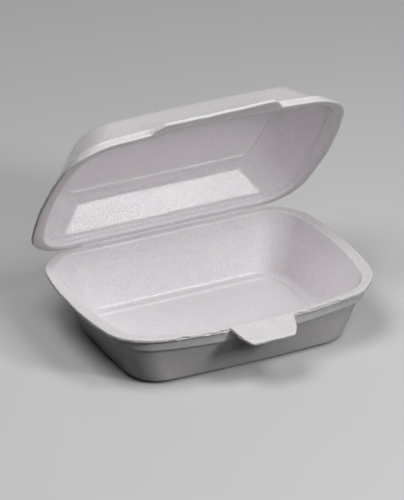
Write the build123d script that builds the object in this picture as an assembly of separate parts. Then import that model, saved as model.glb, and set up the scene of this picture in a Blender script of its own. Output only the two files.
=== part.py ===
"""Foam clamshell container, standing open.

One sheet of foam is formed into two trays that share a pressed crease: a base tray and a shallower
lid, each with a flat rim, an upright band, a small ledge and sloping walls that round into a floor.
The base carries a closing tab in the middle of its front rim, and the lid a lip that covers its root.
The origin is the middle of the base's underside, X runs along the crease, Y to the rear and Z up.
"""
import os
from dataclasses import dataclass, replace

from build123d import *

# Rim of the base, seen from above
rim_length = 185.0            # end to end, at the middle of the bowed ends
rim_depth = 135.0             # crease to the middle of the bowed front edge
front_bow = 12.0              # how far the front edge falls back from its middle to its ends
end_bow = 8.0                 # the same on the two short ends
front_corner = 32.5
rear_corner = 28.0

# Rim of the lid, where it differs from the base
lid_overhang = 4.0            # past the base at each short end
lid_setback = 5.5             # behind the middle of the base's front edge
lid_front_bow = 6.5

# Section of the sheet
foam = 2.2
base_height = 38.3
lid_height = 27.0
front_flange = 4.2            # width of the flat rim along the front
end_flange = 7.0              # along the short ends
rear_flange = 5.5             # along the crease
base_band = 7.5               # height of the upright band under the base's rim
lid_band = 4.5
band_taper = 0.6              # how far the band leans in over its height
ledge = 2.0                   # width of the step at the foot of the band
panel_step = 1.2              # how far the flat middle of a floor stands out

# Sloping walls: how far they lean in from the ledge to where they would meet the floor
base_end_lean = 13.0
base_front_lean = 13.0
base_rear_lean = 11.5
lid_end_lean = 15.5
lid_front_lean = 15.2
lid_rear_lean = 9.2

# Floor of the trays
floor_bow = 1.6
base_floor_corner = 19.0
base_floor_round = 5.5        # inside, between wall and floor
base_panel_margin = 5.6       # floor left round the flat middle panel
base_panel_corner = 12.0
lid_floor_corner = 21.0
lid_floor_round = 8.0
lid_panel_margin = 8.5
lid_panel_corner = 6.0

# Rounding
ledge_round = 0.9
mouth_round = 1.3             # where the rim turns down into the band
edge_round = 0.5              # along the cut edge

# Closing tab on the base and covering lip on the lid
tab_root = 41.0
tab_tip = 32.0
tab_length = 15.5
tab_droop = 10.0              # degrees below the rim
tab_corner = 4.0
lip_root = 86.0
lip_tip = 72.0
lip_length = 7.5
lip_corner = 2.0
tab_bed = 2.0                 # how far the tab's root runs into the rim
lip_bed = 3.6                 # the same for the lip, where the rim falls away at its ends

# Crease
crease_radius = 0.9           # bead of pressed foam that the lid turns about
crease_setback = 0.4          # of the two rims from the line of the crease
crease_gap = 0.15             # between the crease bead and the groove in the lid
closing_gap = 0.3             # between the two rims when shut
open_angle = 54.5             # of the lid from shut, as it stands

level_slack = 0.01            # within which a face or edge counts as lying at a level


@dataclass
class Outline:
    """A tray's outline at one level: bowed front and ends, a straight rear and rounded corners."""

    half: float
    front: float
    rear: float
    front_bow: float
    end_bow: float
    front_corner: float
    rear_corner: float

    def grown(self, end, front=None, rear=None):
        """Return the outline moved out on each side; corners follow the smallest of the moves."""
        front = end if front is None else front
        rear = end if rear is None else rear
        corner = min(end, front, rear)
        return replace(
            self,
            half=self.half + end,
            front=self.front + front,
            rear=self.rear + rear,
            front_corner=self.front_corner + corner,
            rear_corner=self.rear_corner + corner,
        )

    def face(self, height):
        """Return the outline as a flat face at a height."""
        middle = (self.rear - self.front) / 2
        corner_x = self.half - self.end_bow
        corner_y = self.front_bow - self.front
        front_left = (-corner_x, corner_y)
        front_right = (corner_x, corner_y)
        rear_right = (corner_x, self.rear)
        rear_left = (-corner_x, self.rear)
        sharp = make_face(
            [
                ThreePointArc(front_left, (0, -self.front), front_right),
                ThreePointArc(front_right, (self.half, middle), rear_right),
                Line(rear_right, rear_left),
                ThreePointArc(rear_left, (-self.half, middle), front_left),
            ]
        )
        by_depth = sharp.vertices().sort_by(Axis.Y)
        rounded = fillet(by_depth[:2], self.front_corner)
        rounded = fillet(rounded.vertices().group_by(Axis.Y)[-1], self.rear_corner)
        return Pos(0, 0, height) * rounded


@dataclass
class Hollow:
    """How a tray runs down from its rim: depth, band, leans of the walls, floor and flat panel."""

    height: float
    band: float
    end_lean: float
    front_lean: float
    rear_lean: float
    floor_corner: float
    floor_round: float
    panel_margin: float
    panel_corner: float

    def floor(self, wall):
        """Return the floor's outline under the outline of the wall's top."""
        return Outline(
            wall.half - self.end_lean,
            wall.front - self.front_lean,
            wall.rear - self.rear_lean,
            floor_bow,
            floor_bow,
            self.floor_corner,
            self.floor_corner,
        )

    def panel(self, floor):
        """Return the flat panel's outline inside the floor's."""
        inner = floor.grown(-self.panel_margin)
        return replace(inner, front_corner=self.panel_corner, rear_corner=self.panel_corner)


def at_level(shapes, height):
    """Return the edges or faces that lie in one level plane."""
    return shapes.filter_by_position(Axis.Z, height - level_slack, height + level_slack)


def stepped_bowl(mouth, foot, wall, floor, panel, levels, floor_radius):
    """Return a solid bowl: band, ledge, sloping walls, rounded floor and the panel that stands out."""
    top, ledge_level, floor_level, panel_level = levels
    band_part = loft([foot.face(ledge_level), mouth.face(top)])
    wall_part = loft([floor.face(floor_level), wall.face(ledge_level)])
    wall_part = fillet(at_level(wall_part.edges(), floor_level), floor_radius)
    panel_part = loft([panel.grown(-panel_step).face(panel_level), panel.face(floor_level)])
    bowl = band_part + wall_part
    bowl = fillet(at_level(bowl.edges(), ledge_level), ledge_round)
    return bowl + panel_part


def tray(rim, hollow):
    """Return one half of the container, mouth up, with the top of its rim at height 0."""
    mouth = rim.grown(-end_flange, -front_flange, -rear_flange)
    foot = mouth.grown(-band_taper)
    wall = foot.grown(-ledge)
    floor = hollow.floor(wall)
    panel = hollow.panel(floor)
    ledge_level = -hollow.band
    panel_level = foam - hollow.height
    floor_level = panel_level + panel_step
    inside = stepped_bowl(
        mouth, foot, wall, floor, panel, (0, ledge_level, floor_level, panel_level), hollow.floor_round
    )
    outside = stepped_bowl(
        mouth.grown(foam),
        foot.grown(foam),
        wall.grown(foam),
        floor.grown(foam),
        panel,
        (0, ledge_level - foam, floor_level - foam, panel_level - foam),
        hollow.floor_round + foam,
    )
    flange = extrude(rim.face(-foam), foam)
    return soften_rim(flange + outside - inside)


def soften_rim(shell):
    """Return a tray with its cut edge eased and its rim rounded into the band, inside and below."""
    top = at_level(shell.faces(), 0)[0]
    shell = fillet(top.inner_wires()[0].edges(), mouth_round)
    under = at_level(shell.faces(), -foam)[0]
    shell = fillet(under.inner_wires()[0].edges(), mouth_round)
    top = at_level(shell.faces(), 0)[0]
    under = at_level(shell.faces(), -foam)[0]
    return fillet(top.outer_wire().edges() + under.outer_wire().edges(), edge_round)


def tongue(root, tip, reach, bed, corner):
    """Return a flat tongue of sheet that points to the front, its top at height 0, rooted at the origin.

    The root end runs back over the length of the bed, inside the rim that carries it.
    """
    sketch = make_face(
        Polyline(
            (-root / 2, bed),
            (-root / 2, 0),
            (-tip / 2, -reach),
            (tip / 2, -reach),
            (root / 2, 0),
            (root / 2, bed),
            close=True,
        )
    )
    sketch = fillet(sketch.vertices().group_by(Axis.Y)[0], corner)
    return extrude(sketch, -foam)


# The crease lies between the two rims, on the line that the lid turns about
crease_y = rim_depth / 2
crease_z = base_height + closing_gap / 2
crease_length = 2 * (rim_length / 2 - end_bow - rear_corner)
rim_rear = crease_y - crease_setback

base_rim = Outline(
    rim_length / 2, rim_depth / 2, rim_rear, front_bow, end_bow, front_corner, rear_corner
)
lid_rim = replace(
    base_rim,
    half=base_rim.half + lid_overhang,
    front=base_rim.front - lid_setback,
    front_bow=lid_front_bow,
)
base_hollow = Hollow(
    base_height,
    base_band,
    base_end_lean,
    base_front_lean,
    base_rear_lean,
    base_floor_corner,
    base_floor_round,
    base_panel_margin,
    base_panel_corner,
)
lid_hollow = Hollow(
    lid_height,
    lid_band,
    lid_end_lean,
    lid_front_lean,
    lid_rear_lean,
    lid_floor_corner,
    lid_floor_round,
    lid_panel_margin,
    lid_panel_corner,
)


def crease_rod(radius, length):
    """Return a rod of a radius and length on the crease line."""
    return Pos(0, crease_y, crease_z) * Rot(0, 90, 0) * Cylinder(radius, length)


def base_tray():
    """Return the base standing on its underside, with its closing tab and the crease bead."""
    shell = tray(base_rim, base_hollow)
    tab = Pos(0, -tab_bed, 0) * tongue(tab_root, tab_tip, tab_length, tab_bed, tab_corner)
    tab = Pos(0, tab_bed - base_rim.front, 0) * Rot(tab_droop, 0, 0) * tab
    return Pos(0, 0, base_height) * (shell + tab) + crease_rod(crease_radius, crease_length)


def lid():
    """Return the lid turned back about the crease to the angle at which it stands."""
    shell = tray(lid_rim, lid_hollow)
    lip = Pos(0, -lid_rim.front, 0) * tongue(lip_root, lip_tip, lip_length, lip_bed, lip_corner)
    shut = Pos(0, 0, base_height + closing_gap) * mirror(shell + lip, Plane.XY)
    shut = shut - crease_rod(crease_radius + crease_gap, rim_length)
    return Pos(0, crease_y, crease_z) * Rot(-open_angle, 0, 0) * Pos(0, -crease_y, -crease_z) * shut


os.makedirs("parts", exist_ok=True)
export_step(base_tray(), "parts/base_tray.step")
export_step(lid(), "parts/lid.step")
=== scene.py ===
"""Foam clamshell container, dressed for its picture.

Two trays of white foam sheet are worked out as closed grid surfaces, in millimetres, and put into the
part's own frame in metres: X along the crease, Y to the rear, Z up, origin under the middle of the base.
"""

import logging
import math
from collections.abc import Sequence
from dataclasses import dataclass, field, replace
from enum import Enum

import bpy
import numpy as np
from mathutils import Matrix, Vector

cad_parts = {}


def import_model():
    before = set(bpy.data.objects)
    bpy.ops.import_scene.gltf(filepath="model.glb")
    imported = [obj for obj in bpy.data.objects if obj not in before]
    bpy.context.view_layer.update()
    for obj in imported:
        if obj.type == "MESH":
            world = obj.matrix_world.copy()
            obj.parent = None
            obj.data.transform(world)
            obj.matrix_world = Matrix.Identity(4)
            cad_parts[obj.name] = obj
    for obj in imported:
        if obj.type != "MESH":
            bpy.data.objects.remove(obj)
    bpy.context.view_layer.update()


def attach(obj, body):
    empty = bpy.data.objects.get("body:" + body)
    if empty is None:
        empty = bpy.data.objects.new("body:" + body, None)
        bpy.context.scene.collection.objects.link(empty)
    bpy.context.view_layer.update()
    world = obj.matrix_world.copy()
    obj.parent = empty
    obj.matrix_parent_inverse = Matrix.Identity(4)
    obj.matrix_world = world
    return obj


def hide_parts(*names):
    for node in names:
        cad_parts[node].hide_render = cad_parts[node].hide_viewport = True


LOG = logging.getLogger("foam_container")
MM = 0.001  # metres
PICTURE_WIDTH = 404  # pixels
SENSOR_WIDTH = 36.0  # millimetres
NEARLY_STRAIGHT = 0.9999  # cosine past which two runs count as one straight line
LONGEST_ROUND = 0.47  # share of a run that the round at one of its ends may take up


class Body(Enum):
    """The two bodies of the part that a piece can move with."""

    BASE = "base"
    LID = "lid"


class Mouth(Enum):
    """Which way a tray's mouth looks when the container is shut."""

    UP = 1.0
    DOWN = -1.0


@dataclass(frozen=True)
class Waves:
    """A smooth random field: a sum of plane waves with seeded directions, lengths and phases.

    Attributes:
        shortest: shortest wavelength, in millimetres.
        longest: longest wavelength, in millimetres.
        seed: seed of the directions and phases.
        count: number of waves in each component.
    """

    shortest: float
    longest: float
    seed: int
    count: int = 18

    def at(self, points: np.ndarray, parts: int) -> np.ndarray:
        """Work the field out at points: the sum of cos(2 pi direction . point / length + phase), scaled.

        Args:
            points: array of any shape that ends in three coordinates, in millimetres.
            parts: number of independent components wanted.

        Returns:
            Array of the points' shape with `parts` last, of about unit spread.
        """
        rng = np.random.default_rng(self.seed)
        direction = rng.normal(size=(parts, self.count, 3))
        direction /= np.linalg.norm(direction, axis=2, keepdims=True)
        length = np.exp(rng.uniform(math.log(self.shortest), math.log(self.longest), (parts, self.count)))
        phase = rng.uniform(0.0, 2.0 * math.pi, (parts, self.count))
        turns = 2.0 * math.pi * direction / length[..., None]
        angle = np.einsum("...k,pck->...pc", points, turns) + phase
        return np.cos(angle).sum(axis=-1) * math.sqrt(2.0 / self.count)


def smooth_step(value: np.ndarray, low: float, high: float) -> np.ndarray:
    """Ease from 0 at low to 1 at high along 3t^2 - 2t^3."""
    t = np.clip((value - low) / (high - low), 0.0, 1.0)
    return t * t * (3.0 - 2.0 * t)


def even_shares(count: int) -> np.ndarray:
    """Return count even shares of a stretch, from 0 up to but not including 1."""
    return np.arange(count) / count


def arc(centre: np.ndarray, radius: float, start: float, end: float, share: np.ndarray) -> np.ndarray:
    """Return centre + radius (cos a, sin a) for angles that run from start to end by the shares."""
    angle = start + (end - start) * share
    return centre + radius * np.column_stack([np.cos(angle), np.sin(angle)])


@dataclass(frozen=True)
class Spread:
    """How many grid columns each stretch of an outline's right half gets.

    Attributes:
        front_stops: distances from the middle of the front edge between which columns are even.
        front_counts: columns between one stop and the next, the last run going on to the corner.
        front_corner: columns round the front corner.
        end: columns along the short end.
        rear_corner: columns round the rear corner.
        rear: columns along half of the rear edge.
    """

    front_stops: tuple[float, ...]
    front_counts: tuple[int, ...]
    front_corner: int = 44
    end: int = 50
    rear_corner: int = 34
    rear: int = 48

    def front_shares(self, length: float) -> np.ndarray:
        """Return the front columns' places as shares of the front edge's half length."""
        stops = [*self.front_stops, length]
        runs = [
            np.linspace(low, high, count, endpoint=False)
            for low, high, count in zip(stops[:-1], stops[1:], self.front_counts)
        ]
        return np.concatenate(runs) / length


@dataclass(frozen=True)
class Outline:
    """A tray's outline at one level: bowed front and ends, a straight rear and rounded corners, in mm.

    Attributes:
        half: from the middle plane to the middle of a short end.
        front: from the origin forward to the middle of the front edge.
        rear: from the origin back to the rear edge.
        front_bow: how far the front edge falls back from its middle to its ends.
        end_bow: the same on the short ends.
        front_corner: rounding of the front corners.
        rear_corner: rounding of the rear corners.
    """

    half: float
    front: float
    rear: float
    front_bow: float
    end_bow: float
    front_corner: float
    rear_corner: float

    def grown(self, end: float, front: float | None = None, rear: float | None = None) -> "Outline":
        """Move the sides out; the corners follow the smallest of the moves.

        Args:
            end: move of the two short ends.
            front: move of the front, as the ends if left out.
            rear: move of the rear, as the ends if left out.

        Returns:
            The moved outline.
        """
        front = end if front is None else front
        rear = end if rear is None else rear
        corner = min(end, front, rear)
        return replace(
            self,
            half=self.half + end,
            front=self.front + front,
            rear=self.rear + rear,
            front_corner=self.front_corner + corner,
            rear_corner=self.rear_corner + corner,
        )

    def points(self, spread: Spread, front_length: float) -> np.ndarray:
        """Walk once round the outline, from the middle of the front edge to the right.

        The front edge is the circle through its middle and both sharp corners, the end the circle
        through both sharp corners and its middle. A corner's circle touches its two neighbours from
        inside, so its centre lies where theirs, shrunk by its radius, meet.

        Args:
            spread: number of columns on each stretch.
            front_length: half length of the front edge for which the spread's stops are meant.

        Returns:
            Array of (columns, 2), closed without repeating the first point.
        """
        side, step = self.half - self.end_bow, self.front_bow
        near = step - self.front
        front_radius = (side**2 + step**2) / (2.0 * step)
        front_centre = np.array([0.0, front_radius - self.front])
        end_y = (near + self.rear) / 2.0
        middle = (self.rear - self.front) / 2.0
        end_x = (self.half**2 - side**2 + (middle - end_y) ** 2 - (self.rear - end_y) ** 2) / (
            2.0 * self.end_bow
        )
        end_centre = np.array([end_x, end_y])
        end_radius = math.hypot(side - end_x, self.rear - end_y)

        front_inner, end_inner = front_radius - self.front_corner, end_radius - self.front_corner
        between = end_centre - front_centre
        gap = float(np.hypot(*between))
        along = (front_inner**2 - end_inner**2 + gap**2) / (2.0 * gap)
        aside = math.sqrt(front_inner**2 - along**2)
        unit = between / gap
        turned = np.array([unit[1], -unit[0]])
        foot = front_centre + along * unit
        low = min(foot + aside * turned, foot - aside * turned, key=lambda point: point[1])
        high_y = self.rear - self.rear_corner
        high_x = end_x + math.sqrt((end_radius - self.rear_corner) ** 2 - (high_y - end_y) ** 2)
        high = np.array([high_x, high_y])

        down = -math.pi / 2.0
        front_turn = math.atan2(*(low - front_centre)[::-1])
        low_turn = math.atan2(*(low - end_centre)[::-1])
        high_turn = math.atan2(*(high - end_centre)[::-1])
        rear_x = high_x * (1.0 - even_shares(spread.rear))
        right = np.vstack([
            arc(front_centre, front_radius, down, front_turn, spread.front_shares(front_length)),
            arc(low, self.front_corner, front_turn, low_turn, even_shares(spread.front_corner)),
            arc(end_centre, end_radius, low_turn, high_turn, even_shares(spread.end)),
            arc(high, self.rear_corner, high_turn, -down, even_shares(spread.rear_corner)),
            np.column_stack([rear_x, np.full(spread.rear, self.rear)]),
            np.array([[0.0, self.rear]]),
        ])
        left = right[-2:0:-1] * (-1.0, 1.0)
        return np.vstack([right, left])

    def front_half_length(self) -> float:
        """Return how far from its middle the front edge runs before it meets the corner's circle."""
        spread = Spread((0.0,), (1,), 1, 1, 1, 1)
        return float(self.points(spread, 1.0)[1, 0])


@dataclass(frozen=True)
class Tongue:
    """A flat tongue of sheet on the middle of a front rim, in mm.

    Attributes:
        root: width where it leaves the rim.
        tip: width at its free edge.
        reach: distance of the free edge in front of the middle of the rim.
        ease: share of the slanted side over which its outer corner is rounded.
        columns: grid columns on half of the front edge: between the slanted sides, along one of them
            and on to the corner.
        fold: how far behind the rim's edge the fold line lies.
        droop: angle below the rim, in degrees.
        groove: depth of the pressed fold line.
        groove_width: how far the fold line spreads to each side.
        fold_start: where the bend begins, ahead of the fold line.
        fold_end: where the bend has reached the full droop.
        side_inner: how far inside the root's width the bend begins to die out.
        side_outer: how far outside it has died out.
        under: depths below the sheet at which the bend is gone and above which it is whole.
        skin: depth of the mouth side that the fold line moves whole.
        slack: how far the close columns run past the slanted sides.
    """

    root: float
    tip: float
    reach: float
    ease: float
    columns: tuple[int, int, int]
    fold: float = 0.0
    droop: float = 0.0
    groove: float = 0.0
    groove_width: float = 0.7
    fold_start: float = -0.4
    fold_end: float = 1.8
    side_inner: float = 0.6
    side_outer: float = 1.0
    under: tuple[float, float] = (1.5, 0.2)
    skin: float = 0.2
    slack: float = 1.2

    def spread(self) -> Spread:
        """Set the columns of the outline, close together along the slanted sides."""
        stops = (0.0, self.tip / 2.0 - self.slack, self.root / 2.0 + self.slack)
        return Spread(stops, self.columns)

    def extra(self, x: np.ndarray, fall: np.ndarray) -> np.ndarray:
        """Work out how far the cut edge moves forward at each x.

        The full move, reach plus the rim's own fall back from its middle, is taken between the tip's
        corners and runs down to nothing along the slanted sides, with a parabola at the outer corner.

        Args:
            x: distance from the middle plane.
            fall: how far the rim falls back there from its middle.

        Returns:
            The move at each x.
        """
        q = (self.root / 2.0 - np.abs(x)) / ((self.root - self.tip) / 2.0)
        rounded = q - (q - (1.0 - self.ease)) ** 2 / (4.0 * self.ease)
        share = np.where(q < 1.0 - self.ease, q, np.where(q > 1.0 + self.ease, 1.0, rounded))
        return np.clip(share, 0.0, 1.0) * (self.reach + fall)


@dataclass(frozen=True)
class Corner:
    """One bend of a tray's section.

    Attributes:
        outline: outline on which the sharp bend would lie, or None for the middle of the floor.
        height: level of the sharp bend above the rim.
        radius: rounding of the bend.
        bends: grid rows round the bend.
        rows: grid rows on the straight run that follows.
        cut: strength of the open-celled cut edge there, 0 to 1.
        pressed: strength of the pressed line there, 0 to 1; the finish paints it whiter, a painted
            highlight.
    """

    outline: Outline | None
    height: float
    radius: float
    bends: int
    rows: int
    cut: float = 0.0
    pressed: float = 0.0


def rounded_rows(sharp: np.ndarray, corners: Sequence[Corner]) -> tuple[np.ndarray, np.ndarray]:
    """Round the bends of many sections at once.

    At each bend the two neighbours' directions give the interior angle p; the round starts and ends
    at radius / tan(p / 2) from the bend, and is the conic through both with weight sin(p / 2), which
    is a circle's arc.

    Args:
        sharp: array of (bends, columns, 3), the sharp sections.
        corners: radius and row counts of each bend; the first and last are single points.

    Returns:
        Array of (rows, columns, 3), and for each row the share in which it belongs to each bend.
    """
    before, here, after = sharp[:-2], sharp[1:-1], sharp[2:]
    back, ahead = before - here, after - here
    back_length = np.linalg.norm(back, axis=2, keepdims=True)
    ahead_length = np.linalg.norm(ahead, axis=2, keepdims=True)
    back, ahead = back / back_length, ahead / ahead_length
    cosine = np.clip((back * ahead).sum(axis=2, keepdims=True), -NEARLY_STRAIGHT, NEARLY_STRAIGHT)
    radius = np.array([corner.radius for corner in corners[1:-1]])[:, None, None]
    start = radius * np.sqrt((1.0 + cosine) / (1.0 - cosine))
    start = np.minimum(start, LONGEST_ROUND * np.minimum(back_length, ahead_length))
    weight = np.sqrt((1.0 - cosine) / 2.0)
    first, last = here + back * start, here + ahead * start

    rows: list[np.ndarray] = []
    shares: list[np.ndarray] = []
    identity = np.eye(len(corners))
    end = sharp[0]
    for index, corner in enumerate(corners):
        if 0 < index < len(corners) - 1:
            bend = index - 1
            s = np.linspace(0.0, 1.0, corner.bends)[:, None, None]
            near, far = (1 - s) ** 2, s**2
            middle = 2 * weight[bend] * s * (1 - s)
            top = near * first[bend] + middle * here[bend] + far * last[bend]
            rows.append(top / (near + middle + far))
            shares.append(np.repeat(identity[index : index + 1], corner.bends, axis=0))
            end = last[bend]
        if index < len(corners) - 1:
            goal = first[index] if index < len(corners) - 2 else sharp[-1]
            s = (np.arange(corner.rows) + 1.0)[:, None, None] / (corner.rows + 1.0)
            rows.append(end + (goal - end) * s)
            s = s[:, :, 0]
            shares.append((1.0 - s) * identity[index] + s * identity[index + 1])
    return np.concatenate(rows), np.concatenate(shares)


def closed_grid_mesh(name: str, rows: np.ndarray, poles: np.ndarray, flip: bool) -> bpy.types.Mesh:
    """Make a mesh from a grid that closes round its columns and ends in a pole at each side.

    Args:
        name: name of the mesh.
        rows: array of (rows, columns, 3), in metres.
        poles: array of (2, 3), before the first and after the last row.
        flip: turn the faces over.

    Returns:
        The mesh, smooth shaded, all faces pointing outwards.
    """
    count, columns = rows.shape[:2]
    grid = np.arange(count * columns).reshape(count, columns)
    beside = np.roll(grid, -1, axis=1)
    quads = np.stack([grid[:-1], grid[1:], beside[1:], beside[:-1]], axis=2).reshape(-1, 4)
    first, last = count * columns, count * columns + 1
    fans = np.vstack([
        np.column_stack([np.full(columns, first), grid[0], beside[0]]),
        np.column_stack([grid[-1], np.full(columns, last), beside[-1]]),
    ])
    if flip:
        quads, fans = quads[:, ::-1], fans[:, ::-1]
    places = np.vstack([rows.reshape(-1, 3), poles])
    loops = np.concatenate([quads.ravel(), fans.ravel()])
    sizes = np.concatenate([np.full(len(quads), 4), np.full(len(fans), 3)])
    starts = np.concatenate([[0], np.cumsum(sizes)[:-1]])
    mesh = bpy.data.meshes.new(name)
    mesh.vertices.add(len(places))
    mesh.vertices.foreach_set("co", places.astype(np.float32).ravel())
    mesh.loops.add(len(loops))
    mesh.loops.foreach_set("vertex_index", loops.astype(np.int32))
    mesh.polygons.add(len(sizes))
    mesh.polygons.foreach_set("loop_start", starts.astype(np.int32))
    mesh.polygons.foreach_set("use_smooth", np.ones(len(sizes), dtype=bool))
    mesh.update(calc_edges=True)
    mesh.validate()
    return mesh


def add_share(mesh: bpy.types.Mesh, name: str, values: np.ndarray) -> None:
    """Store one number per vertex under a name that the finish reads."""
    attribute = mesh.attributes.new(name, "FLOAT", "POINT")
    attribute.data.foreach_set("value", values.astype(np.float32).ravel())


def linked(name: str, data: bpy.types.ID) -> bpy.types.Object:
    """Make an object of a mesh, lamp or camera and put it into the scene."""
    made = bpy.data.objects.new(name, data)
    bpy.context.scene.collection.objects.link(made)
    return made


class MaterialNodes:
    """The nodes of one material, laid out one after the other."""

    def __init__(self, name: str) -> None:
        """Start an empty material of a name."""
        self.material = bpy.data.materials.new(name)
        self.material.use_nodes = True
        self.tree = self.material.node_tree
        self.tree.nodes.clear()

    def add(self, kind: str, inputs: dict | None = None, **settings: object) -> bpy.types.Node:
        """Add a node.

        Args:
            kind: Blender's name of the node type.
            inputs: value or output socket for each input, by name or number.
            settings: attributes set on the node itself.

        Returns:
            The node.
        """
        node = self.tree.nodes.new(kind)
        for key, value in settings.items():
            setattr(node, key, value)
        for key, value in (inputs or {}).items():
            if isinstance(value, bpy.types.NodeSocket):
                self.tree.links.new(value, node.inputs[key])
            else:
                node.inputs[key].default_value = value
        return node

    def math(self, operation: str, first: object, second: object = 0.0) -> bpy.types.NodeSocket:
        """Add a Math node and return its result."""
        return self.add("ShaderNodeMath", {0: first, 1: second}, operation=operation).outputs[0]

    def ramp(
        self, value: object, low: float, high: float, out_low: float, out_high: float
    ) -> bpy.types.NodeSocket:
        """Add a Map Range node that eases from one pair of values to another, and return its result."""
        ends = {"From Min": low, "From Max": high, "To Min": out_low, "To Max": out_high}
        node = self.add(
            "ShaderNodeMapRange", {"Value": value, **ends}, interpolation_type="SMOOTHSTEP"
        )
        return node.outputs["Result"]


@dataclass(frozen=True)
class FoamFinish:
    """Formed polystyrene foam sheet: a satin skin over fine cells.

    Attributes:
        name: name of the material.
        skin: colour of the skin.
        shade: colour between the cells, a little deeper.
        cut: colour of the cut edge.
        cells_per_metre: number of cells along a metre.
        roughness: mean roughness of the skin.
        cell_relief: height of the cells, in metres.
        grain_relief: height of the finest grain, in metres.
        fleck: how far the cells differ in tone, as a share of the step from skin to shade.
        fleck_size: number of flecks to a cell, along a line.
        grain_size: number of grains to a cell, along a line.
        clouds_per_metre: number of faint blotches along a metre.
        cell_tone: how far the tone goes to the shade between the cells.
        cloud_tone: the same in the blotches.
        cloud_gloss: how far the roughness strays in the blotches.
        grain_gloss: the same in the grain.
        cut_gloss: how much rougher the cut edge is.
        cut_relief: how many times deeper its cells stand out.
        translucence: share of the light that spreads inside the sheet.
        light_depth: how far that light spreads, in metres.
        light_spread: how far red, green and blue spread of that.
        bend: index of refraction.
        cell_span: distances from a cell's middle, in cells, between which its tone deepens.
        cloud_span: levels of the noise between which a blotch's tone sets in.
        gloss_span: the same for its gloss.
        grain_span: the same for the gloss of the grain.
    """

    name: str = "white_foam"
    skin: tuple[float, float, float, float] = (0.975, 0.932, 0.962, 1.0)
    shade: tuple[float, float, float, float] = (0.865, 0.818, 0.852, 1.0)
    cut: tuple[float, float, float, float] = (0.95, 0.92, 0.945, 1.0)
    cells_per_metre: float = 1250.0
    roughness: float = 0.18
    cell_relief: float = 0.00009
    grain_relief: float = 0.00004
    fleck: float = 0.9
    fleck_size: float = 0.8
    grain_size: float = 2.4
    clouds_per_metre: float = 85.0
    cell_tone: float = 0.45
    cloud_tone: float = 0.2
    cloud_gloss: float = 0.015
    grain_gloss: float = 0.06
    cut_gloss: float = 0.35
    cut_relief: float = 2.0
    translucence: float = 0.3
    light_depth: float = 0.0012
    light_spread: tuple[float, float, float] = (1.0, 0.96, 0.98)
    bend: float = 1.59
    cell_span: tuple[float, float] = (0.15, 0.8)
    cloud_span: tuple[float, float] = (0.35, 0.7)
    gloss_span: tuple[float, float] = (0.3, 0.7)
    grain_span: tuple[float, float] = (0.35, 0.65)

    def material(self) -> bpy.types.Material:
        """Lay out the foam's nodes.

        Returns:
            The material: cells and grain as bump and roughness, blotches as faint colour, and the
            cut edge open-celled and rougher.
        """
        nodes = MaterialNodes(self.name)
        place = nodes.add("ShaderNodeTexCoord").outputs["Object"]
        cut = nodes.add("ShaderNodeAttribute", attribute_name="cut").outputs["Fac"]
        pressed = nodes.add("ShaderNodeAttribute", attribute_name="pressed").outputs["Fac"]
        cells = nodes.add(
            "ShaderNodeTexVoronoi",
            {"Vector": place, "Scale": self.cells_per_metre, "Randomness": 1.0},
            feature="SMOOTH_F1",
        ).outputs["Distance"]
        fleck = nodes.add(
            "ShaderNodeTexVoronoi",
            {"Vector": place, "Scale": self.cells_per_metre * self.fleck_size, "Randomness": 1.0},
            feature="F1",
        ).outputs["Color"]
        fleck = nodes.add("ShaderNodeSeparateColor", {"Color": fleck}).outputs["Red"]
        grain_scale = self.cells_per_metre * self.grain_size
        grain = nodes.add(
            "ShaderNodeTexNoise",
            {"Vector": place, "Scale": grain_scale, "Detail": 2.0, "Roughness": 0.6},
        ).outputs["Fac"]
        cloud = nodes.add(
            "ShaderNodeTexNoise",
            {"Vector": place, "Scale": self.clouds_per_metre, "Detail": 3.0, "Roughness": 0.55},
        ).outputs["Fac"]

        tone = nodes.math("MULTIPLY", nodes.ramp(cells, *self.cell_span, 0.0, 1.0), self.cell_tone)
        tone = nodes.math("ADD", tone, nodes.ramp(cloud, *self.cloud_span, 0.0, self.cloud_tone))
        spots = nodes.math("MULTIPLY", nodes.math("SUBTRACT", fleck, 0.5), self.fleck)
        tone = nodes.math("ADD", tone, spots)
        # Pressed lines lose the cell tone and turn skin-white: partly crushed skin, partly a painted
        # highlight.
        tone = nodes.math("MULTIPLY", tone, nodes.math("SUBTRACT", 1.0, pressed))
        colour = nodes.add(
            "ShaderNodeMix", {0: tone, 6: self.skin, 7: self.shade}, data_type="RGBA"
        ).outputs[2]
        colour = nodes.add("ShaderNodeMix", {0: cut, 6: colour, 7: self.cut}, data_type="RGBA").outputs[2]

        low, high = self.roughness - self.cloud_gloss, self.roughness + self.cloud_gloss
        gloss = nodes.ramp(cloud, *self.gloss_span, low, high)
        grain_step = nodes.ramp(grain, *self.grain_span, -self.grain_gloss, self.grain_gloss)
        gloss = nodes.math("ADD", gloss, grain_step)
        gloss = nodes.math("ADD", gloss, nodes.math("MULTIPLY", cut, self.cut_gloss))

        relief = nodes.math("MULTIPLY", cells, -self.cell_relief)
        relief = nodes.math("ADD", relief, nodes.math("MULTIPLY", grain, self.grain_relief))
        deeper = nodes.math("ADD", 1.0, nodes.math("MULTIPLY", cut, self.cut_relief))
        relief = nodes.math("MULTIPLY", relief, deeper)
        bump = nodes.add(
            "ShaderNodeBump", {"Height": relief, "Distance": 1.0, "Strength": 1.0}
        ).outputs["Normal"]
        shader = nodes.add(
            "ShaderNodeBsdfPrincipled",
            {
                "Base Color": colour,
                "Roughness": gloss,
                "Normal": bump,
                "IOR": self.bend,
                "Subsurface Weight": self.translucence,
                "Subsurface Radius": self.light_spread,
                "Subsurface Scale": self.light_depth,
            },
        )
        nodes.add("ShaderNodeOutputMaterial", {"Surface": shader.outputs[0]})
        return nodes.material


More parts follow.
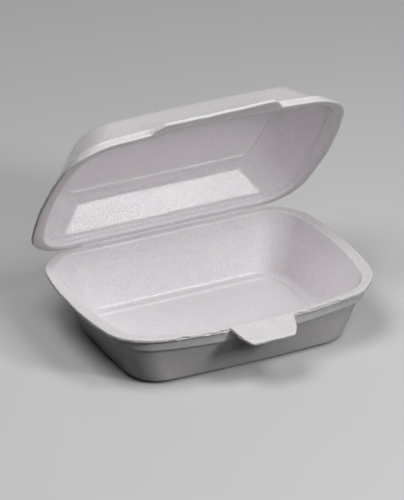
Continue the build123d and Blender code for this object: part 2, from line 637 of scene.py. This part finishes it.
@dataclass(frozen=True)
class FloorFinish:
    """A pale studio floor that shows its colour to the eye and throws back little light.

    Attributes:
        name: name of the material.
        shown: colour seen by the camera and in gloss.
        thrown: colour that lights the object from below.
    """

    name: str = "pale_floor"
    shown: tuple[float, float, float, float] = (0.74, 0.74, 0.75, 1.0)
    thrown: tuple[float, float, float, float] = (0.02, 0.02, 0.02, 1.0)

    def material(self) -> bpy.types.Material:
        """Lay out the floor's nodes and return the material."""
        nodes = MaterialNodes(self.name)
        path = nodes.add("ShaderNodeLightPath")
        seen = nodes.math("MAXIMUM", path.outputs["Is Camera Ray"], path.outputs["Is Glossy Ray"])
        seen = nodes.math("MAXIMUM", seen, path.outputs["Is Transmission Ray"])
        colour = nodes.add(
            "ShaderNodeMix", {0: seen, 6: self.thrown, 7: self.shown}, data_type="RGBA"
        ).outputs[2]
        shader = nodes.add("ShaderNodeBsdfDiffuse", {"Color": colour, "Roughness": 0.6})
        nodes.add("ShaderNodeOutputMaterial", {"Surface": shader.outputs[0]})
        return nodes.material


@dataclass(frozen=True)
class Sheet:
    """Section of the foam sheet where both trays are alike, in mm.

    Attributes:
        foam: thickness of the sheet.
        front_flange: width of the flat rim along the front.
        end_flange: the same along the short ends.
        rear_flange: the same along the crease.
        band_taper: how far the upright band leans in over its height.
        ledge: width of the step at the foot of the band.
        panel_step: how far the flat middle of a floor stands out.
        floor_bow: bow of the floor's sides.
        ledge_round: rounding of the ledge, outside.
        mouth_round: rounding where the rim turns down, outside.
        soft_mouth_round: the same inside.
        edge_round: rounding along the cut edge.
        panel_press_and_highlight: strength of the pressed line round the panel, 0 to 1, painted whiter as
            a highlight.
    """

    foam: float = 2.2
    front_flange: float = 4.2
    end_flange: float = 7.0
    rear_flange: float = 5.5
    band_taper: float = 0.6
    ledge: float = 2.0
    panel_step: float = 1.2
    floor_bow: float = 1.6
    ledge_round: float = 0.9
    mouth_round: float = 1.3
    soft_mouth_round: float = 1.4
    edge_round: float = 0.6
    panel_press_and_highlight: float = 0.6


@dataclass(frozen=True)
class Hollow:
    """How a tray runs down from its rim, in mm.

    Attributes:
        height: from the rim to the underside.
        band: height of the upright band under the rim.
        end_lean: how far the end walls lean in from the ledge to the floor.
        front_lean: the same at the front.
        rear_lean: the same at the rear.
        floor_corner: rounding of the floor's corners, seen from above.
        floor_round: rounding between wall and floor, inside.
        panel_margin: floor left round the flat middle panel.
        panel_corner: rounding of the panel's corners.
        panel_run: width of the step down to the panel.
        panel_round: rounding of that step.
        ledge_rise: how far the ledge's outer side stands above the foot of the band, inside.
        ledge_drop: how far its inner side lies below.
        ledge_soft: rounding of the ledge, inside.
    """

    height: float
    band: float
    end_lean: float
    front_lean: float
    rear_lean: float
    floor_corner: float
    floor_round: float
    panel_margin: float
    panel_corner: float
    panel_run: float
    panel_round: float
    ledge_rise: float
    ledge_drop: float
    ledge_soft: float

    def floor(self, wall: Outline, bow: float) -> Outline:
        """Return the floor's outline, bowed on all its sides but the rear, under the wall's top."""
        return Outline(
            half=wall.half - self.end_lean,
            front=wall.front - self.front_lean,
            rear=wall.rear - self.rear_lean,
            front_bow=bow,
            end_bow=bow,
            front_corner=self.floor_corner,
            rear_corner=self.floor_corner,
        )

    def panel(self, floor: Outline) -> Outline:
        """Return the flat panel's outline inside the floor's."""
        inner = floor.grown(-self.panel_margin)
        return replace(inner, front_corner=self.panel_corner, rear_corner=self.panel_corner)


@dataclass(frozen=True)
class Crease:
    """The pressed line on which the lid turns, in mm and degrees.

    Attributes:
        y: how far behind the origin it lies.
        z: its level.
        half_length: from the middle plane to its end.
        radius: radius of the bead of pressed foam along it.
        open_angle: how far the lid stands open from shut.
    """

    y: float
    z: float
    half_length: float
    radius: float = 0.9
    open_angle: float = 54.5


@dataclass(frozen=True)
class Nick:
    """A small break in the cut edge of the front, in mm.

    Attributes:
        x: where it lies along the front.
        width: how far it spreads to each side.
        depth: how far it reaches into the sheet.
    """

    x: float
    width: float
    depth: float


@dataclass(frozen=True)
class Split:
    """A slit that runs along the cut face of the front edge, in mm.

    Attributes:
        start: x at which it begins.
        end: x at which it ends.
        depth: how far it reaches into the sheet.
        level: where it lies on the cut face, 0 at its mouth side and 1 at its other side.
        ease: length over which it opens at one end and closes at the other.
        spread: how far it spreads across the cut face, as a share of it.
    """

    start: float
    end: float
    depth: float
    level: float
    ease: float = 1.5
    spread: float = 0.25

    def at(self, x: np.ndarray, level: np.ndarray) -> np.ndarray:
        """Work out the depth at points of the cut face.

        Across the face it is a bell, exp(-d^2) of the distance from its level in spreads; along the
        edge it eases in and out.

        Args:
            x: place along the front.
            level: place across the cut face, 0 to 1.

        Returns:
            The depth at each point.
        """
        opened = smooth_step(x, self.start, self.start + self.ease)
        closed = smooth_step(x, self.end - self.ease, self.end)
        return self.depth * (opened - closed) * np.exp(-(((level - self.level) / self.spread) ** 2))


@dataclass(frozen=True)
class Wear:
    """How far the thin sheet strays from its form, and how rough its cut edge is, in mm.

    Attributes:
        rim_sag: how far long waves lower the rim.
        rim_reach: how far below the rim they still show.
        wall_wander: spread of the shorter waves on the walls.
        edge_ripple: spread of the short waves along the cut edge.
        edge_wander: spread of the long waves along the cut edge.
        cut_rough: spread of the shortest waves on the cut face.
        still_foot: levels above the underside between which the waves set in.
        still_crease: distances from the crease between which the waves set in.
        clean_crease: distances from the crease between which the cut edge turns rough.
        drawn_front: distances ahead of the origin between which tongue and nicks set in.
        split_front: the same for the slits.
        cut_start: share of the way from the mouth to the edge at which the cut finish sets in.
        cut_face: share from which on a row lies on the cut face.
        sag_lengths: shortest and longest of the waves that lower the rim.
        wall_lengths: the same on the walls.
        ripple_lengths: the same of the short waves along the cut edge.
        wander_lengths: the same of the long ones.
        rough_lengths: the same on the cut face.
    """

    rim_sag: float = 0.15
    rim_reach: float = 14.0
    wall_wander: float = 0.035
    edge_ripple: float = 0.06
    edge_wander: float = 0.20
    cut_rough: float = 0.07
    still_foot: tuple[float, float] = (1.5, 12.0)
    still_crease: tuple[float, float] = (2.0, 20.0)
    clean_crease: tuple[float, float] = (3.0, 14.0)
    drawn_front: tuple[float, float] = (0.0, 20.0)
    split_front: tuple[float, float] = (20.0, 35.0)
    cut_start: float = 0.8
    cut_face: float = 0.99
    sag_lengths: tuple[float, float] = (45.0, 120.0)
    wall_lengths: tuple[float, float] = (16.0, 40.0)
    ripple_lengths: tuple[float, float] = (3.0, 9.0)
    wander_lengths: tuple[float, float] = (18.0, 60.0)
    rough_lengths: tuple[float, float] = (1.8, 6.0)


@dataclass(frozen=True)
class Tray:
    """One half of the container: a closed sheet that runs from the inside of its floor round the rim.

    Attributes:
        name: name of the piece and of the node it stands for.
        body: body that it moves with.
        mouth: way its mouth looks when shut.
        rim: outline of the cut edge.
        hollow: how it runs down from its rim.
        rim_level: level of the rim's mouth side when shut.
        tongue: tongue on the middle of the front rim.
        nicks: breaks in the front edge.
        splits: slits along the cut face of the front edge.
        seed: seed of the waves; each kind of wave adds its own number.
        crease: line that the lid turns about.
        sheet: section of the sheet.
        wear: how far the sheet strays from its form.
    """

    name: str
    body: Body
    mouth: Mouth
    rim: Outline
    hollow: Hollow
    rim_level: float
    tongue: Tongue
    nicks: tuple[Nick, ...]
    splits: tuple[Split, ...]
    seed: int
    crease: Crease
    sheet: Sheet = field(default_factory=Sheet)
    wear: Wear = field(default_factory=Wear)

    def corners(self) -> list[Corner]:
        """List the bends of the section, from the middle of the floor round the rim to the underside.

        Returns:
            The bends in order, with their outlines, levels, roundings and row counts.
        """
        s, h = self.sheet, self.hollow
        mouth = self.rim.grown(-s.end_flange, -s.front_flange, -s.rear_flange)
        foot = mouth.grown(-s.band_taper)
        wall = foot.grown(-s.ledge)
        floor = h.floor(wall, s.floor_bow)
        panel = h.panel(floor)
        inner = panel.grown(-h.panel_run)
        panel_level = s.foam - h.height
        floor_level = panel_level + s.panel_step
        return [
            Corner(None, panel_level, 0.0, bends=0, rows=10),
            # The panel's edge is pressed: crushed skin, painted whiter as a highlight along the step.
            Corner(inner, panel_level, h.panel_round, bends=3, rows=1, pressed=s.panel_press_and_highlight),
            Corner(panel, floor_level, h.panel_round, bends=3, rows=3, pressed=s.panel_press_and_highlight),
            Corner(floor, floor_level, h.floor_round, bends=13, rows=10),
            Corner(wall, -h.band - h.ledge_drop, h.ledge_soft, bends=7, rows=1),
            Corner(foot, -h.band + h.ledge_rise, h.ledge_soft, bends=7, rows=3),
            Corner(mouth, 0.0, s.soft_mouth_round, bends=7, rows=14),
            Corner(self.rim, 0.0, s.edge_round, bends=4, rows=6, cut=1.0),
            Corner(self.rim, -s.foam, s.edge_round, bends=4, rows=7, cut=1.0),
            Corner(mouth.grown(s.foam), -s.foam, s.mouth_round, bends=6, rows=3),
            Corner(foot.grown(s.foam), -h.band - s.foam, s.ledge_round, bends=5, rows=1),
            Corner(wall.grown(s.foam), -h.band - s.foam, s.ledge_round, bends=5, rows=8),
            Corner(floor.grown(s.foam), floor_level - s.foam, h.floor_round + s.foam, bends=13, rows=2),
            Corner(panel, floor_level - s.foam, h.panel_round, bends=3, rows=1),
            Corner(inner, panel_level - s.foam, h.panel_round, bends=3, rows=6),
            Corner(None, panel_level - s.foam, 0.0, bends=0, rows=0),
        ]

    def sharp_sections(self, corners: Sequence[Corner]) -> np.ndarray:
        """Place every bend of every section, with the tongue and the nicks drawn into the cut edge.

        Args:
            corners: the bends of the section.

        Returns:
            Array of (bends, columns, 3), in mm, mouth up with the rim at level 0.
        """
        spread, length = self.tongue.spread(), self.rim.front_half_length()
        columns = self.rim.points(spread, length).shape[0]
        sharp = np.zeros((len(corners), columns, 3))
        for index, corner in enumerate(corners):
            sharp[index, :, 2] = corner.height
            if corner.outline is None:
                continue
            sharp[index, :, :2] = corner.outline.points(spread, length)
            if corner.cut:
                sharp[index] = self.drawn_edge(sharp[index])
        return sharp

    def drawn_edge(self, edge: np.ndarray) -> np.ndarray:
        """Move the cut edge forward for the tongue, and back for its nicks and its ragged cut.

        Args:
            edge: array of (columns, 3), the plain cut edge.

        Returns:
            The drawn edge.
        """
        w, x, y = self.wear, edge[:, 0], edge[:, 1]
        fore = smooth_step(-y, *w.drawn_front)
        moved = edge.copy()
        moved[:, 1] -= fore * self.tongue.extra(x, y + self.rim.front)
        for nick in self.nicks:
            moved[:, 1] += fore * nick.depth * np.exp(-(((x - nick.x) / nick.width) ** 2))
        ripple = Waves(*w.ripple_lengths, self.seed + 1).at(edge, 2) * w.edge_ripple
        wander = Waves(*w.wander_lengths, self.seed + 2).at(edge, 2) * w.edge_wander
        away = smooth_step(self.crease.y - y, *w.clean_crease)
        moved[:, :2] += away[:, None] * (ripple + wander)
        return moved

    def torn(self, rows: np.ndarray, cut: np.ndarray) -> np.ndarray:
        """Roughen the cut face: it moves in and out along the edge's normal by short waves and slits.

        Args:
            rows: array of (rows, columns, 3), in mm.
            cut: for each row, how far it belongs to the cut face.

        Returns:
            The roughened array.
        """
        w, torn = self.wear, rows.copy()
        edge = cut > w.cut_face
        face = rows[edge]
        along = np.roll(face, -1, axis=1) - np.roll(face, 1, axis=1)
        out = np.stack([along[..., 1], -along[..., 0]], axis=2)
        out /= np.maximum(np.linalg.norm(out, axis=2, keepdims=True), 1e-6)
        level = -face[..., 2] / self.sheet.foam
        move = Waves(*w.rough_lengths, self.seed + 5).at(face, 1)[..., 0] * w.cut_rough
        front = smooth_step(-face[..., 1], *w.split_front)
        for split in self.splits:
            move -= front * split.at(face[..., 0], level)
        move *= smooth_step(self.crease.y - face[..., 1], *w.clean_crease)
        torn[edge, :, :2] = face[..., :2] + out * move[..., None]
        return torn

    def folded(self, rows: np.ndarray) -> np.ndarray:
        """Press the tongue's fold line into the mouth side and bend the tongue along it by the droop.

        Args:
            rows: array of (rows, columns, 3), in mm.

        Returns:
            The bent array.
        """
        t, foam = self.tongue, self.sheet.foam
        line = t.fold - self.rim.front
        past = line - rows[..., 1]
        half = t.root / 2.0
        beside = 1.0 - smooth_step(np.abs(rows[..., 0]), half - t.side_inner, half + t.side_outer)
        high = smooth_step(rows[..., 2], -foam - t.under[0], -foam - t.under[1])
        angle = np.radians(t.droop) * smooth_step(past, t.fold_start, t.fold_end) * beside * high
        bent = rows.copy()
        bent[..., 1] = line - past * np.cos(angle) - rows[..., 2] * np.sin(angle)
        bent[..., 2] = rows[..., 2] * np.cos(angle) - past * np.sin(angle)
        mouth_side = smooth_step(rows[..., 2], -foam / 2.0, -t.skin)
        bent[..., 2] -= t.groove * beside * mouth_side * np.exp(-((past / t.groove_width) ** 2))
        return bent

    def worn(self, rows: np.ndarray) -> np.ndarray:
        """Let the formed sheet wander a little, as thin foam does.

        Long waves lower the rim, by log(1 + exp(2 wave)), so that the two rims stay apart when shut;
        shorter ones move the walls. Both die out at the underside that the container stands on and
        along the crease.

        Args:
            rows: array of (rows, columns, 3), in mm.

        Returns:
            The wavy array.
        """
        w, height = self.wear, self.hollow.height
        up = rows[..., 2] + height
        free = smooth_step(up, *w.still_foot) * smooth_step(self.crease.y - rows[..., 1], *w.still_crease)
        rim = smooth_step(up, height - w.rim_reach, height)
        wander = Waves(*w.wall_lengths, self.seed + 3).at(rows, 3) * w.wall_wander
        moved = rows + free[..., None] * wander
        wave = Waves(*w.sag_lengths, self.seed + 4).at(rows, 1)[..., 0]
        sag = np.log1p(np.exp(2.0 * wave))
        moved[..., 2] -= free * rim * sag * w.rim_sag
        return moved

    def placed(self, points: np.ndarray) -> np.ndarray:
        """Put points of the tray into the part's frame: mouth the right way, lid turned open.

        The lid's points turn about the crease: y' = y cos a + z sin a and z' = z cos a - y sin a,
        measured from it.

        Args:
            points: array that ends in three coordinates, in mm.

        Returns:
            The placed points, in metres.
        """
        out = points.copy()
        out[..., 2] = self.rim_level + self.mouth.value * points[..., 2]
        if self.body is Body.LID:
            a = math.radians(self.crease.open_angle)
            y, z = out[..., 1] - self.crease.y, out[..., 2] - self.crease.z
            out[..., 1] = self.crease.y + y * math.cos(a) + z * math.sin(a)
            out[..., 2] = self.crease.z + z * math.cos(a) - y * math.sin(a)
        return out * MM

    def build(self, finish: bpy.types.Material) -> bpy.types.Object:
        """Make the tray's mesh, dress it and hang it on its body.

        Args:
            finish: the foam's material.

        Returns:
            The piece.
        """
        corners = self.corners()
        rows, shares = rounded_rows(self.sharp_sections(corners), corners)
        cut = shares @ np.array([corner.cut for corner in corners])
        rows = self.worn(self.folded(self.torn(rows, cut)))
        poles = np.array([[0.0, 0.0, corners[0].height], [0.0, 0.0, corners[-1].height]])
        mesh = closed_grid_mesh(
            self.name + "_foam", self.placed(rows), self.placed(poles), self.mouth is Mouth.DOWN
        )
        columns = rows.shape[1]
        # The pressed share paints pressed lines whiter, partly a painted highlight.
        finishes = {
            "cut": smooth_step(cut, self.wear.cut_start, 1.0),
            "pressed": shares @ np.array([corner.pressed for corner in corners]),
        }
        for name, row_value in finishes.items():
            add_share(mesh, name, np.append(np.repeat(row_value, columns), [0.0, 0.0]))
        mesh.materials.append(finish)
        piece = linked(mesh.name, mesh)
        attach(piece, self.body.value)
        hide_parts(self.name)
        return piece


@dataclass(frozen=True)
class CreaseBead:
    """The pressed foam along the crease: a thin bead whose ends taper out.

    Attributes:
        crease: line that it follows.
        stations: round sections along it.
        sides: points round a section.
        taper: length of each tapered end, in millimetres.
        blunt: share of the radius left at the very end.
        lumps: how far the radius strays, as a share of it.
        lump_lengths: shortest and longest of the lumps, in millimetres.
        seed: seed of the lumps.
        pressed: strength of the pressed look, 0 to 1, painted whiter as a highlight.
    """

    crease: Crease
    stations: int = 240
    sides: int = 16
    taper: float = 5.0
    blunt: float = 0.25
    lumps: float = 0.06
    lump_lengths: tuple[float, float] = (4.0, 14.0)
    seed: int = 71
    pressed: float = 0.8

    def build(self, finish: bpy.types.Material) -> bpy.types.Object:
        """Carry a round profile along the crease.

        Its radius is the crease's times blunt + (1 - blunt) sqrt(1 - e^2), where e runs from 1 at the
        end to 0 where the taper is over, and strays from that by the lumps.

        Args:
            finish: the foam's material.

        Returns:
            The piece.
        """
        c = self.crease
        x = np.linspace(-c.half_length, c.half_length, self.stations)
        inward = np.clip((c.half_length - np.abs(x)) / self.taper, 0.0, 1.0)
        radius = c.radius * (self.blunt + (1.0 - self.blunt) * np.sqrt(1.0 - (1.0 - inward) ** 2))
        line = np.column_stack([x, np.zeros_like(x), np.zeros_like(x)])
        radius = radius * (1.0 + self.lumps * Waves(*self.lump_lengths, self.seed).at(line, 1)[:, 0])
        turn = 2.0 * math.pi * even_shares(self.sides)
        rows = np.empty((self.stations, self.sides, 3))
        rows[..., 0] = x[:, None]
        rows[..., 1] = c.y + radius[:, None] * np.cos(turn)
        rows[..., 2] = c.z + radius[:, None] * np.sin(turn)
        poles = np.array([[x[0], c.y, c.z], [x[-1], c.y, c.z]])
        mesh = closed_grid_mesh("crease_bead", rows * MM, poles * MM, True)
        count = self.stations * self.sides + 2
        add_share(mesh, "cut", np.zeros(count))
        # The whole bead is pressed, so the finish paints it whiter, a painted highlight.
        add_share(mesh, "pressed", np.full(count, self.pressed))
        mesh.materials.append(finish)
        piece = linked(mesh.name, mesh)
        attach(piece, Body.BASE.value)
        return piece


@dataclass(frozen=True)
class SoftLight:
    """A soft studio light.

    Attributes:
        name: name of the light.
        place: where it stands, in metres.
        width: width in metres.
        height: height in metres.
        power: power in watts.
        shine: whether it shows in gloss, or only lights the matt colour.
        aim: point that it looks at, in metres.
    """

    name: str
    place: tuple[float, float, float]
    width: float
    height: float
    power: float
    shine: bool = True
    aim: tuple[float, float, float] = (0.0, 0.0, 0.06)

    def build(self) -> None:
        """Hang the light and turn it to its aim."""
        lamp = bpy.data.lights.new(self.name, "AREA")
        lamp.shape = "RECTANGLE"
        lamp.size = self.width
        lamp.size_y = self.height
        lamp.energy = self.power
        holder = linked(self.name, lamp)
        holder.visible_camera = False
        holder.visible_glossy = self.shine
        holder.location = self.place
        gaze = Vector(self.aim) - Vector(self.place)
        holder.rotation_euler = gaze.to_track_quat("-Z", "Y").to_euler()


@dataclass(frozen=True)
class Studio:
    """Floor, lights and camera.

    Attributes:
        azimuth: side from which the camera looks, in degrees, 0 for straight from the front.
        elevation: height of the camera above the floor's plane, in degrees.
        focus_pixels: focal length in widths of a picture pixel.
        distance: distance from the camera to the aim's plane, in metres.
        aim: point that the framing starts from, in metres.
        offset: how far the object stands right of and above the picture's middle, in metres.
        ambient: strength of the even light from all round.
        floor_reach: from the middle of the floor to its sides, in metres.
        lights: the soft lights.
    """

    azimuth: float = -26.34
    elevation: float = 27.25
    focus_pixels: float = 5000.0
    distance: float = 3.003
    aim: tuple[float, float, float] = (0.0, 0.0, 0.04)
    offset: tuple[float, float] = (0.0062, -0.0130)
    ambient: float = 0.0
    floor_reach: float = 4.0
    lights: tuple[SoftLight, ...] = (
        SoftLight("left_light", (-0.406, -0.189, 1.065), width=0.50, height=0.50, power=4.4),
        SoftLight("right_light", (0.296, -0.557, 0.961), width=0.30, height=0.30, power=2.3),
        SoftLight("front_light", (0.420, -0.860, 0.602), width=0.20, height=0.20, power=3.1),
        SoftLight("fill_light", (-0.157, -0.887, 0.691), width=0.60, height=0.60, power=1.1),
        SoftLight("back_light", (0.382, 2.166, 0.280), width=1.20, height=0.40, power=17.0, shine=False),
    )

    def build_floor(self) -> None:
        """Lay a wide square floor at level 0."""
        r = self.floor_reach
        mesh = bpy.data.meshes.new("floor")
        mesh.from_pydata([(-r, -r, 0.0), (r, -r, 0.0), (r, r, 0.0), (-r, r, 0.0)], [], [(0, 1, 2, 3)])
        mesh.materials.append(FloorFinish().material())
        linked("floor", mesh)

    def build_camera(self) -> None:
        """Stand the camera so that the aim falls at the offset from the picture's middle."""
        a, e = math.radians(self.azimuth), math.radians(self.elevation)
        back = Vector((math.sin(a) * math.cos(e), -math.cos(a) * math.cos(e), math.sin(e)))
        right = (-back).cross(Vector((0.0, 0.0, 1.0))).normalized()
        up = right.cross(-back)
        aside = right * self.offset[0] + up * self.offset[1]
        place = Vector(self.aim) - aside + back * self.distance
        lens = bpy.data.cameras.new("camera")
        lens.sensor_fit = "HORIZONTAL"
        lens.sensor_width = SENSOR_WIDTH
        lens.lens = self.focus_pixels * SENSOR_WIDTH / PICTURE_WIDTH
        camera = linked("camera", lens)
        turn = Matrix((right, up, back)).transposed()
        camera.matrix_world = Matrix.Translation(place) @ turn.to_4x4()
        bpy.context.scene.camera = camera

    def build(self) -> None:
        """Set up the floor, the even light, the soft lights and the camera."""
        scene = bpy.context.scene
        scene.view_settings.view_transform = "Standard"
        world = bpy.data.worlds.new("studio")
        world.use_nodes = True
        sky = world.node_tree.nodes["Background"]
        sky.inputs["Color"].default_value = (1.0, 1.0, 1.0, 1.0)
        sky.inputs["Strength"].default_value = self.ambient
        scene.world = world
        self.build_floor()
        for light in self.lights:
            light.build()
        self.build_camera()


@dataclass(frozen=True)
class FoamBox:
    """The whole container: the sizes that its two trays share or differ by, in mm.

    Attributes:
        rim_length: the base's rim from end to end, at the middle of the bowed ends.
        rim_depth: from the crease to the middle of the base's front edge.
        front_bow: how far the base's front edge falls back from its middle to its ends.
        end_bow: the same on the short ends of both trays.
        front_corner: rounding of the front corners.
        rear_corner: rounding of the rear corners.
        base_height: from the base's rim to its underside.
        lid_height: from the lid's rim to its top.
        lid_overhang: how far the lid stands past the base at each short end.
        lid_setback: how far the middle of the lid's front edge lies behind the base's.
        lid_front_bow: as front_bow, on the lid.
        crease_setback: distance of both rims from the line of the crease.
        closing_gap: distance between the two rims when shut.
    """

    rim_length: float = 185.0
    rim_depth: float = 135.0
    front_bow: float = 12.0
    end_bow: float = 8.0
    front_corner: float = 32.5
    rear_corner: float = 28.0
    base_height: float = 38.3
    lid_height: float = 27.0
    lid_overhang: float = 4.0
    lid_setback: float = 5.5
    lid_front_bow: float = 6.5
    crease_setback: float = 0.4
    closing_gap: float = 0.3

    def crease(self) -> Crease:
        """Return the crease: midway between the shut rims, along the straight stretch of the rear edge."""
        return Crease(
            y=self.rim_depth / 2.0,
            z=self.base_height + self.closing_gap / 2.0,
            half_length=self.rim_length / 2.0 - self.end_bow - self.rear_corner,
        )

    def base_rim(self) -> Outline:
        """Return the outline of the base's cut edge."""
        return Outline(
            half=self.rim_length / 2.0,
            front=self.rim_depth / 2.0,
            rear=self.rim_depth / 2.0 - self.crease_setback,
            front_bow=self.front_bow,
            end_bow=self.end_bow,
            front_corner=self.front_corner,
            rear_corner=self.rear_corner,
        )

    def lid_rim(self) -> Outline:
        """Return the outline of the lid's cut edge: the base's, longer and set back at the front."""
        base = self.base_rim()
        return replace(
            base,
            half=base.half + self.lid_overhang,
            front=base.front - self.lid_setback,
            front_bow=self.lid_front_bow,
        )

    def base_tray(self) -> Tray:
        """Return the base: deep, mouth up, with the closing tab on its front rim."""
        return Tray(
            name="base_tray",
            body=Body.BASE,
            mouth=Mouth.UP,
            rim=self.base_rim(),
            hollow=Hollow(
                height=self.base_height,
                band=7.5,
                end_lean=13.0,
                front_lean=13.0,
                rear_lean=11.5,
                floor_corner=19.0,
                floor_round=4.6,
                panel_margin=4.4,
                panel_corner=13.0,
                panel_run=1.2,
                panel_round=1.1,
                ledge_rise=5.0,
                ledge_drop=0.4,
                ledge_soft=4.0,
            ),
            rim_level=self.base_height,
            tongue=Tongue(
                root=41.0, tip=32.0, reach=15.5, ease=0.75, columns=(22, 34, 36), fold=2.0, droop=13.0
            ),
            nicks=(
                Nick(x=-21.3, width=0.6, depth=1.4),
                Nick(x=-50.0, width=1.6, depth=0.5),
                Nick(x=-27.0, width=1.2, depth=0.5),
                Nick(x=24.0, width=1.4, depth=0.6),
            ),
            splits=(
                Split(start=-54.0, end=-46.5, depth=1.5, level=0.55),
                Split(start=-38.0, end=-32.0, depth=0.8, level=0.4),
                Split(start=-28.5, end=-20.5, depth=1.6, level=0.45),
                Split(start=21.0, end=27.5, depth=1.7, level=0.5),
                Split(start=30.0, end=54.0, depth=1.6, level=0.5),
            ),
            seed=11,
            crease=self.crease(),
        )

    def lid(self) -> Tray:
        """Return the lid: shallow, mouth down when shut, with the covering lip on its front rim."""
        return Tray(
            name="lid",
            body=Body.LID,
            mouth=Mouth.DOWN,
            rim=self.lid_rim(),
            hollow=Hollow(
                height=self.lid_height,
                band=4.5,
                end_lean=15.5,
                front_lean=15.2,
                rear_lean=9.2,
                floor_corner=21.0,
                floor_round=8.0,
                panel_margin=8.5,
                panel_corner=6.0,
                panel_run=0.65,
                panel_round=0.25,
                ledge_rise=0.5,
                ledge_drop=0.5,
                ledge_soft=1.4,
            ),
            rim_level=self.base_height + self.closing_gap,
            tongue=Tongue(
                root=86.8, tip=72.0, reach=7.5, ease=0.25, columns=(50, 30, 16), groove=0.4
            ),
            nicks=(
                Nick(x=-23.5, width=1.6, depth=0.7),
                Nick(x=-8.0, width=4.0, depth=0.4),
                Nick(x=14.0, width=5.0, depth=0.3),
            ),
            splits=(),
            seed=41,
            crease=self.crease(),
        )

    def crease_bead(self) -> CreaseBead:
        """Return the bead along the crease."""
        return CreaseBead(self.crease())


def main() -> None:
    """Load the frame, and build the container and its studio."""
    logging.basicConfig(level=logging.INFO, format="%(name)s %(message)s")
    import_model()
    foam = FoamFinish().material()
    box = FoamBox()
    for maker in (box.base_tray(), box.lid(), box.crease_bead()):
        piece = maker.build(foam)
        LOG.info("%s: %d faces", piece.name, len(piece.data.polygons))
    Studio().build()


if __name__ == "__main__":
    main()
